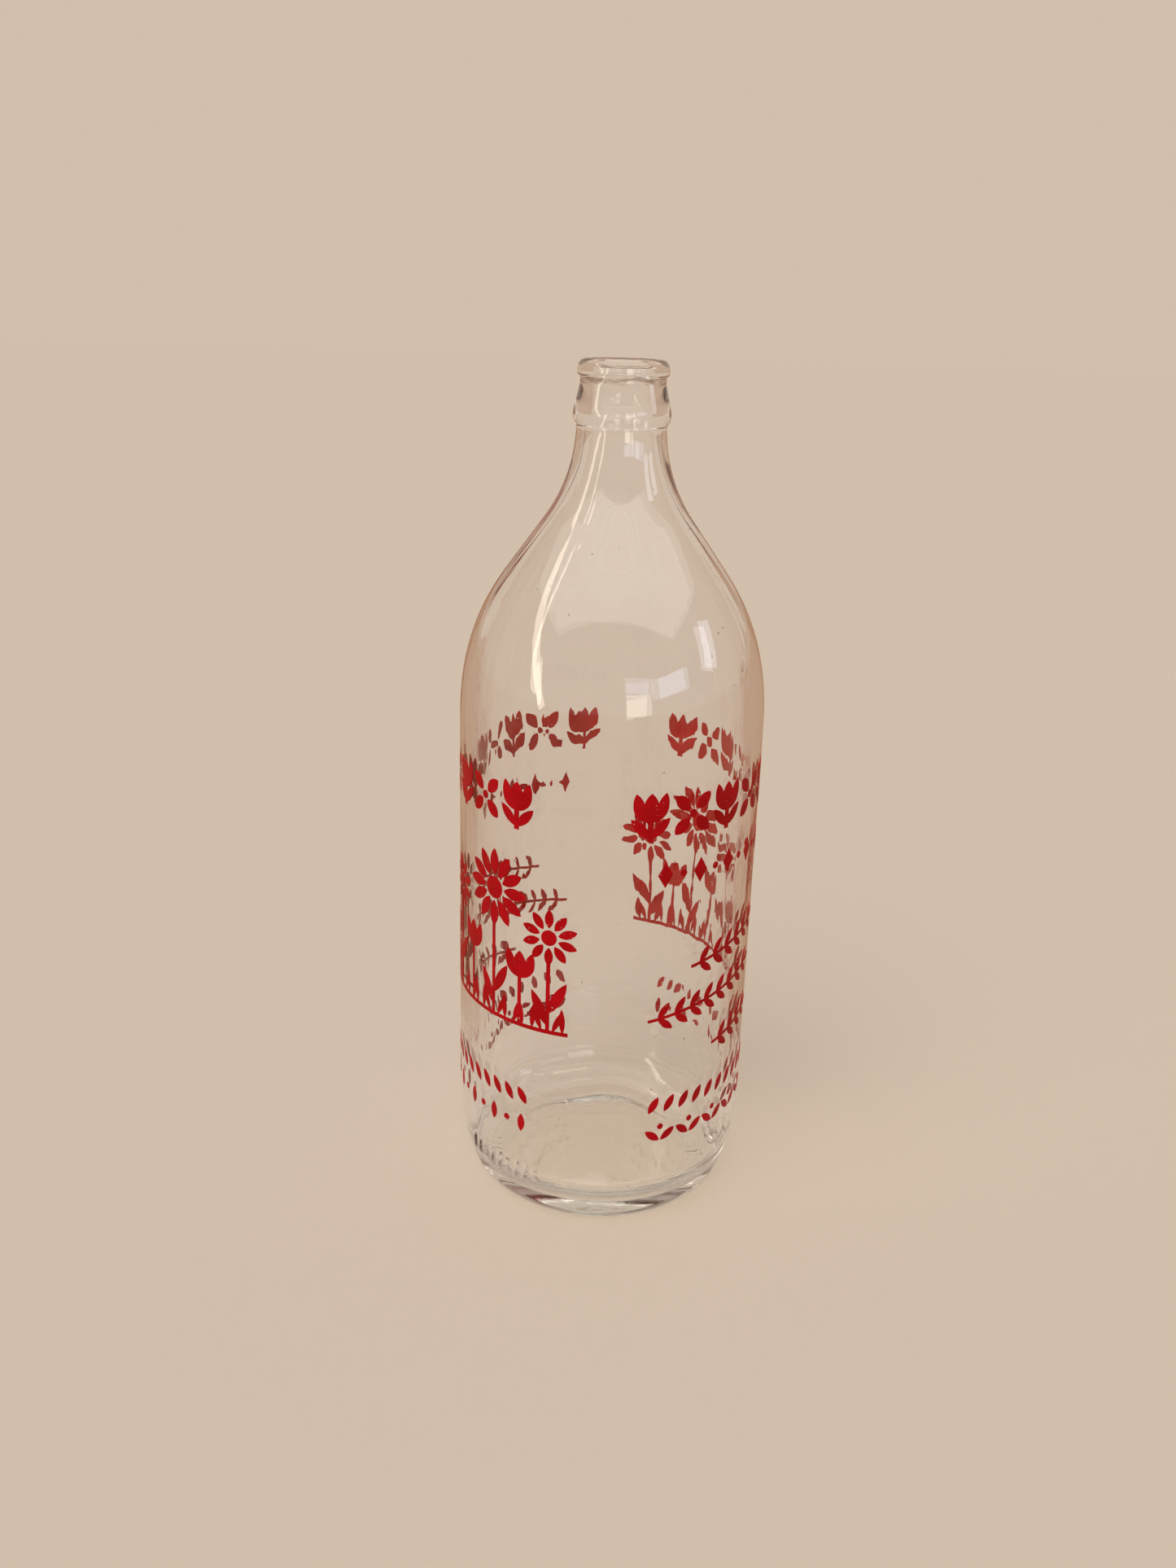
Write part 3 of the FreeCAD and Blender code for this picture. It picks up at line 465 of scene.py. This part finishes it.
def make_glass():
    """The blown bottle as one closed skin, outside and inside."""
    outer = outer_section()
    section = smooth_section(chain(outer, inner_section()))
    normals = section_normals(section)
    is_inner = (np.arange(len(section)) >= len(outer))[:, None]
    turn = np.radians(column_angles())[None, :]
    radius = section[:, 0][:, None]
    up = section[:, 1][:, None]
    relief = np.where(is_inner, inside_relief(turn, up), outside_relief(turn, up, radius))
    relief = relief * (1 - ramp(FLARE_TOP - FINISH_FADE, FLARE_TOP, up))
    radius = radius + normals[:, 0][:, None] * relief
    height = up + normals[:, 1][:, None] * relief
    place = np.stack([radius * np.sin(turn), -radius * np.cos(turn), height], axis=-1) * MM
    rows, columns = radius.shape
    vertices = [tuple(place[0, 0])] + place[1:-1].reshape(-1, 3).tolist() + [tuple(place[-1, 0])]
    last = len(vertices) - 1

    def vertex(row, column):
        return 1 + (row - 1) * columns + column % columns

    faces = []
    for column in range(columns):
        faces.append((0, vertex(1, column + 1), vertex(1, column)))
        faces.append((last, vertex(rows - 2, column), vertex(rows - 2, column + 1)))
        for row in range(1, rows - 2):
            low = (vertex(row, column), vertex(row, column + 1))
            faces.append((*low, vertex(row + 1, column + 1), vertex(row + 1, column)))
    mesh = bpy.data.meshes.new("blown_bottle")
    mesh.from_pydata(vertices, [], faces)
    mesh.polygons.foreach_set("use_smooth", [True] * len(mesh.polygons))
    mesh.update()
    mesh.materials.append(soda_lime_glass())
    bottle = bpy.data.objects.new("blown_bottle", mesh)
    bpy.context.scene.collection.objects.link(bottle)
    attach(bottle, BODY)
    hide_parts("glass_bottle")


# Materials

def linear(code):
    """Linear colour of an sRGB hex value."""
    shares = [int(code[place:place + 2], 16) / 255 for place in (1, 3, 5)]
    return tuple(c / 12.92 if c <= 0.04045 else ((c + 0.055) / 1.055) ** 2.4 for c in shares) + (1.0,)


def new_material(name):
    """A new material with nothing in its node tree, and that tree."""
    material = bpy.data.materials.new(name)
    material.use_nodes = True
    material.node_tree.nodes.clear()
    return material, material.node_tree


def add(tree, kind, inputs=None, **settings):
    """Adds a node with its settings and returns its outputs.

    Each of its inputs is given another node's output, which is linked, or a value.
    """
    made = tree.nodes.new(kind)
    for name, value in settings.items():
        setattr(made, name, value)
    for name, value in (inputs or {}).items():
        if isinstance(value, bpy.types.NodeSocket):
            tree.links.new(value, made.inputs[name])
        else:
            made.inputs[name].default_value = value
    return made.outputs


# Settings that many nodes share
SMOOTH = {"interpolation_type": "SMOOTHSTEP"}
TIMES = {"operation": "MULTIPLY"}


def soda_lime_glass():
    """Soda-lime glass, blown in a mould: clear and sharp, but never quite even.

    Its skin is drawn into faint waves along the bottle and has a few small bubbles under it. It is worn
    matt where the bottle stands, it keeps old dirt under the locking ring, and it greys where it is thick.
    """
    material, tree = new_material("soda_lime_glass")
    place = add(tree, "ShaderNodeNewGeometry")["Position"]
    height = add(tree, "ShaderNodeSeparateXYZ", {0: place})["Z"]
    level = add(tree, "ShaderNodeVectorMath", {0: place, 1: (1.0, 1.0, 0.0)}, **TIMES)[0]
    away = add(tree, "ShaderNodeVectorMath", {0: level}, operation="LENGTH")["Value"]

    # Waves of the drawn skin, and the finer peel of the mould's wall
    drawn = add(tree, "ShaderNodeVectorMath", {0: place, 1: SKIN_WAVE_SQUEEZE}, **TIMES)[0]
    waves = add(tree, "ShaderNodeTexNoise", {
        "Vector": drawn,
        "Scale": 1 / (SKIN_WAVE_SPACING * MM),
    })["Fac"]
    wavy = add(tree, "ShaderNodeBump", {
        "Height": waves,
        "Distance": SKIN_WAVE_HEIGHT * MM,
    })[0]
    peel = add(tree, "ShaderNodeTexNoise", {
        "Vector": place,
        "Scale": 1 / (PEEL_SPACING * MM),
    })["Fac"]
    peeled = add(tree, "ShaderNodeBump", {
        "Height": peel,
        "Distance": PEEL_HEIGHT * MM,
        "Normal": wavy,
    })[0]

    # Bubbles: one in a few cells comes near enough to the skin to show
    cells = add(tree, "ShaderNodeTexVoronoi", {
        "Vector": place,
        "Scale": 1 / (BUBBLE_SPACING * MM),
    })["Distance"]
    bubbles = add(tree, "ShaderNodeMapRange", {
        "Value": cells,
        "From Min": BUBBLE_RADII[0],
        "From Max": BUBBLE_RADII[1],
    }, **SMOOTH)[0]
    skin = add(tree, "ShaderNodeBump", {
        "Height": bubbles,
        "Distance": BUBBLE_HEIGHT * MM,
        "Normal": peeled,
    })[0]

    # Wear on the ring that the bottle stands on
    low = add(tree, "ShaderNodeMapRange", {
        "Value": height,
        "From Min": WORN_HEIGHTS[0] * MM,
        "From Max": WORN_HEIGHTS[1] * MM,
    }, **SMOOTH)[0]
    rim = add(tree, "ShaderNodeMapRange", {
        "Value": away,
        "From Min": WORN_RADII[0] * MM,
        "From Max": WORN_RADII[1] * MM,
        "To Max": WORN_ROUGHNESS,
    }, **SMOOTH)[0]
    worn = add(tree, "ShaderNodeMath", {0: low, 1: rim}, **TIMES)[0]
    glass = add(tree, "ShaderNodeBsdfPrincipled", {
        "Base Color": linear(GLASS_COLOUR),
        "IOR": 1.52,
        "Transmission Weight": 1.0,
        "Roughness": worn,
        "Normal": skin,
    })[0]

    # Dirt, in smears about 5 mm long and 1 mm high, in the groove under the locking ring
    over = add(tree, "ShaderNodeMapRange", {
        "Value": height,
        "From Min": DIRT_START[0] * MM,
        "From Max": DIRT_START[1] * MM,
    }, **SMOOTH)[0]
    under = add(tree, "ShaderNodeMapRange", {
        "Value": height,
        "From Min": DIRT_END[0] * MM,
        "From Max": DIRT_END[1] * MM,
    }, **SMOOTH)[0]
    groove = add(tree, "ShaderNodeMath", {0: over, 1: under}, **TIMES)[0]
    flat = add(tree, "ShaderNodeVectorMath", {0: place, 1: DIRT_SMEAR_SQUEEZE}, **TIMES)[0]
    grit = add(tree, "ShaderNodeTexNoise", {
        "Vector": flat,
        "Scale": 1 / (DIRT_SMEAR_HEIGHT * MM),
        "Detail": 4.0,
        "Roughness": 0.65,
    })["Fac"]
    patches = add(tree, "ShaderNodeMapRange", {
        "Value": grit,
        "From Min": DIRT_PATCHES[0],
        "From Max": DIRT_PATCHES[1],
        "To Max": DIRT_COVER,
    }, **SMOOTH)[0]
    dirty = add(tree, "ShaderNodeMath", {0: groove, 1: patches}, **TIMES)[0]
    dirt = add(tree, "ShaderNodeBsdfDiffuse", {"Color": linear(DIRT_COLOUR)})[0]
    surface = add(tree, "ShaderNodeMixShader", {0: dirty, 1: glass, 2: dirt})[0]

    # The lamps shine through the glass, which keeps its shadow light
    shaded = add(tree, "ShaderNodeLightPath")["Is Shadow Ray"]
    clear = add(tree, "ShaderNodeBsdfTransparent", {"Color": linear(GLASS_SHADOW_COLOUR)})[0]
    lit = add(tree, "ShaderNodeMixShader", {0: shaded, 1: surface, 2: clear})[0]
    tint = add(tree, "ShaderNodeVolumeAbsorption", {
        "Color": linear(GLASS_TINT),
        "Density": GLASS_DENSITY,
    })[0]
    add(tree, "ShaderNodeOutputMaterial", {"Surface": lit, "Volume": tint})
    return material


def fired_enamel():
    """Ceramic enamel, screen-printed and fired on to the glass: opaque red with a satin shine.

    Its tone is a little uneven, it has pinholes where the screen let nothing through, and the side that
    lies on the glass is dull, because no air is between them.
    """
    material, tree = new_material("fired_enamel")
    geometry = add(tree, "ShaderNodeNewGeometry")
    place = geometry["Position"]

    # Cloudy tone, in patches of about 9 mm
    clouds = add(tree, "ShaderNodeTexNoise", {
        "Vector": place,
        "Scale": 1 / (CLOUD_SPACING * MM),
        "Detail": 5.0,
        "Roughness": 0.6,
    })["Fac"]
    tone = add(tree, "ShaderNodeMapRange", {
        "Value": clouds,
        "From Min": CLOUD_EDGES[0],
        "From Max": CLOUD_EDGES[1],
    }, **SMOOTH)[0]
    red = add(tree, "ShaderNodeMix", {
        "Factor": tone,
        "A": linear(ENAMEL_DARK),
        "B": linear(ENAMEL_LIGHT),
    }, data_type="RGBA")["Result"]

    # Grain of the fired powder, drawn at 0.5 mm so that it shows
    powder = add(tree, "ShaderNodeTexNoise", {
        "Vector": place,
        "Scale": 1 / (POWDER_SPACING * MM),
        "Detail": 3.0,
    })["Fac"]
    grain = add(tree, "ShaderNodeBump", {
        "Height": powder,
        "Distance": POWDER_HEIGHT * MM,
    })[0]
    front = add(tree, "ShaderNodeBsdfPrincipled", {
        "Base Color": red,
        "IOR": 1.5,
        "Roughness": 0.4,
        "Specular IOR Level": 0.08,
        "Normal": grain,
    })[0]

    # The front faces away from the axis and the dull back towards it, with the film's edges between them
    back = add(tree, "ShaderNodeBsdfDiffuse", {"Color": red})[0]
    outward = add(tree, "ShaderNodeVectorMath", {
        0: geometry["True Normal"],
        1: place,
    }, operation="DOT_PRODUCT")["Value"]
    facing = add(tree, "ShaderNodeMapRange", {
        "Value": outward,
        "From Min": -FILM_EDGE * MM,
        "From Max": FILM_EDGE * MM,
    }, **SMOOTH)[0]
    film = add(tree, "ShaderNodeMixShader", {0: facing, 1: back, 2: front})[0]

    # Pinholes, under half a millimetre across
    specks = add(tree, "ShaderNodeTexNoise", {
        "Vector": place,
        "Scale": 1 / (PINHOLE_SPACING * MM),
        "Detail": 1.0,
    })["Fac"]
    holes = add(tree, "ShaderNodeMapRange", {
        "Value": specks,
        "From Min": PINHOLE_EDGES[0],
        "From Max": PINHOLE_EDGES[1],
    }, **SMOOTH)[0]
    bare = add(tree, "ShaderNodeBsdfTransparent")[0]
    surface = add(tree, "ShaderNodeMixShader", {0: holes, 1: film, 2: bare})[0]
    add(tree, "ShaderNodeOutputMaterial", {"Surface": surface})
    return material


def pale_floor():
    """Plain matt paper. What the glass mirrors of it, except close by, is darker than what is seen of it.

    That holds for the outside and the far wall, and by half for light that is caught in one wall, which has
    been through its faces 1 to 3 times.
    """
    material, tree = new_material("pale_floor")
    path = add(tree, "ShaderNodeLightPath")
    caught = add(tree, "ShaderNodeMath", {
        0: path["Transmission Depth"],
        1: 2.0,
        2: 1.5,
    }, operation="COMPARE")[0]
    mirrored = add(tree, "ShaderNodeMath", {
        0: caught,
        1: -0.5,
        2: path["Glossy Depth"],
    }, operation="MULTIPLY_ADD", use_clamp=True)[0]
    place = add(tree, "ShaderNodeNewGeometry")["Position"]
    away = add(tree, "ShaderNodeVectorMath", {0: place}, operation="LENGTH")["Value"]
    far = add(tree, "ShaderNodeMapRange", {
        "Value": away,
        "From Min": MIRRORED_FLOOR_START[0],
        "From Max": MIRRORED_FLOOR_START[1],
    }, **SMOOTH)[0]
    darker = add(tree, "ShaderNodeMath", {0: mirrored, 1: far}, **TIMES)[0]
    paper = add(tree, "ShaderNodeMix", {
        "Factor": darker,
        "A": linear(FLOOR_COLOUR),
        "B": linear(MIRRORED_FLOOR_COLOUR),
    }, data_type="RGBA")["Result"]
    matt = add(tree, "ShaderNodeBsdfDiffuse", {"Color": paper})[0]
    add(tree, "ShaderNodeOutputMaterial", {"Surface": matt})
    return material


# Stage

def make_floor():
    """A wide flat floor."""
    mesh = bpy.data.meshes.new("floor")
    corners = [(x * FLOOR_HALF, y * FLOOR_HALF, 0) for x, y in ((-1, -1), (1, -1), (1, 1), (-1, 1))]
    mesh.from_pydata(corners, [], [(0, 1, 2, 3)])
    mesh.materials.append(pale_floor())
    floor = bpy.data.objects.new("floor", mesh)
    bpy.context.scene.collection.objects.link(floor)


def make_world():
    """Even ambient light. The camera sees a pale backdrop in its place, and so does the glass."""
    world = bpy.data.worlds.new("studio")
    world.use_nodes = True
    tree = world.node_tree
    tree.nodes.clear()
    path = add(tree, "ShaderNodeLightPath")
    by_glass = add(tree, "ShaderNodeMath", {
        0: path["Is Glossy Ray"],
        1: path["Is Transmission Ray"],
    }, operation="MAXIMUM")[0]
    shown = add(tree, "ShaderNodeMath", {
        0: path["Is Camera Ray"],
        1: by_glass,
    }, operation="MAXIMUM")[0]
    ambient = add(tree, "ShaderNodeBackground", {
        "Color": linear(AMBIENT_COLOUR),
        "Strength": AMBIENT,
    })[0]
    backdrop = add(tree, "ShaderNodeBackground", {"Color": linear(BACKDROP_COLOUR)})[0]
    mixed = add(tree, "ShaderNodeMixShader", {0: shown, 1: ambient, 2: backdrop})[0]
    add(tree, "ShaderNodeOutputWorld", {"Surface": mixed})
    bpy.context.scene.world = world


def toward(azimuth, elevation):
    """Direction at an azimuth from the front, to the right, and an elevation, in degrees."""
    turn = math.radians(azimuth)
    rise = math.radians(elevation)
    return Vector((math.sin(turn) * math.cos(rise), -math.cos(turn) * math.cos(rise), math.sin(rise)))


def make_key_light():
    """A wide soft light over the front. The overhead panel is what the glass mirrors of it."""
    data = bpy.data.lights.new("key_light", "SUN")
    data.energy = KEY_STRENGTH
    data.angle = math.radians(KEY_SPREAD)
    data.color = linear(KEY_COLOUR)[:3]
    lamp = bpy.data.objects.new("key_light", data)
    lamp.rotation_euler = toward(KEY_AZIMUTH, KEY_ELEVATION).to_track_quat("Z", "Y").to_euler()
    lamp.visible_glossy = False
    lamp.visible_transmission = False
    bpy.context.scene.collection.objects.link(lamp)


def make_panel(name, start, end, width, radiance, colour, off=1.0):
    """A flat lamp that only the glass shows, from one direction off the shoulder to another.

    Its ends stand off the shoulder by the distance off. The distance and its width are in metres.
    """
    shoulder = Vector(PANEL_AIM)
    ends = [shoulder + off * toward(*start), shoulder + off * toward(*end)]
    place = (ends[0] + ends[1]) / 2
    back = (place - shoulder).normalized()
    along = (ends[1] - ends[0]).normalized()
    along = (along - along.dot(back) * back).normalized()
    data = bpy.data.lights.new(name, "AREA")
    data.shape = "RECTANGLE"
    data.size = (ends[1] - ends[0]).length
    data.size_y = width
    data.energy = radiance * math.pi * data.size * data.size_y
    data.color = linear(colour)[:3]
    lamp = bpy.data.objects.new(name, data)
    turn = Matrix((along, back.cross(along), back)).transposed()
    lamp.matrix_world = Matrix.Translation(place) @ turn.to_4x4()
    lamp.visible_camera = False
    lamp.visible_diffuse = False
    bpy.context.scene.collection.objects.link(lamp)


def make_panels():
    """The lamps and windows that show in the glass, each from one (azimuth, elevation) to another."""
    make_panel("overhead_panel", (-90, 38), (90, 38), width=2.97, radiance=1.05, colour="#FFFBF5", off=2.5)
    make_panel("left_strip", (-52, -2), (-92, 45), width=0.09, radiance=6.0, colour="#FFF1DE")
    make_panel("front_pane", (9, 3), (27, 4), width=0.18, radiance=3.2, colour="#FFF6E8")
    make_panel("front_window_left", (8, 13.5), (29, 12.5), width=0.13, radiance=2.0, colour="#D3DEFF")
    make_panel("front_window_right", (33.5, 11), (58, 12.5), width=0.17, radiance=2.5, colour="#D3DEFF")
    make_panel("right_window", (79, 11), (86, 29), width=0.2, radiance=3.2, colour="#E9EEFF")


def make_camera():
    """The camera of the photograph, which looks down a little and is rolled a little."""
    data = bpy.data.cameras.new("camera")
    data.sensor_width = SENSOR
    data.lens = FOCAL_PIXELS / PICTURE_HEIGHT * SENSOR
    data.clip_start = CLIP_START
    camera = bpy.data.objects.new("camera", data)
    bpy.context.scene.collection.objects.link(camera)
    tilt = Euler((math.radians(90 - CAMERA_PITCH), 0, 0)).to_matrix()
    roll = Matrix.Rotation(math.radians(CAMERA_ROLL), 3, "Z")
    camera.matrix_world = Matrix.Translation(CAMERA_PLACE) @ (tilt @ roll).to_4x4()
    bpy.context.scene.camera = camera


def lengthen_light_paths():
    """Light is thrown about in the thick base and in the ring of the mouth before it comes out again."""
    paths = bpy.context.scene.cycles
    paths.max_bounces = PASSING_BOUNCES
    paths.glossy_bounces = MIRROR_BOUNCES
    paths.transmission_bounces = PASSING_BOUNCES
    paths.transparent_max_bounces = SHADOW_BOUNCES


def paint_enamel():
    """Gives every printed area its enamel."""
    enamel = fired_enamel()
    for name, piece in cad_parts.items():
        if name != "glass_bottle":
            piece.data.materials.clear()
            piece.data.materials.append(enamel)


make_glass()
paint_enamel()
make_floor()
make_world()
make_key_light()
make_panels()
make_camera()
lengthen_light_paths()
bpy.context.scene.view_settings.view_transform = "Standard"
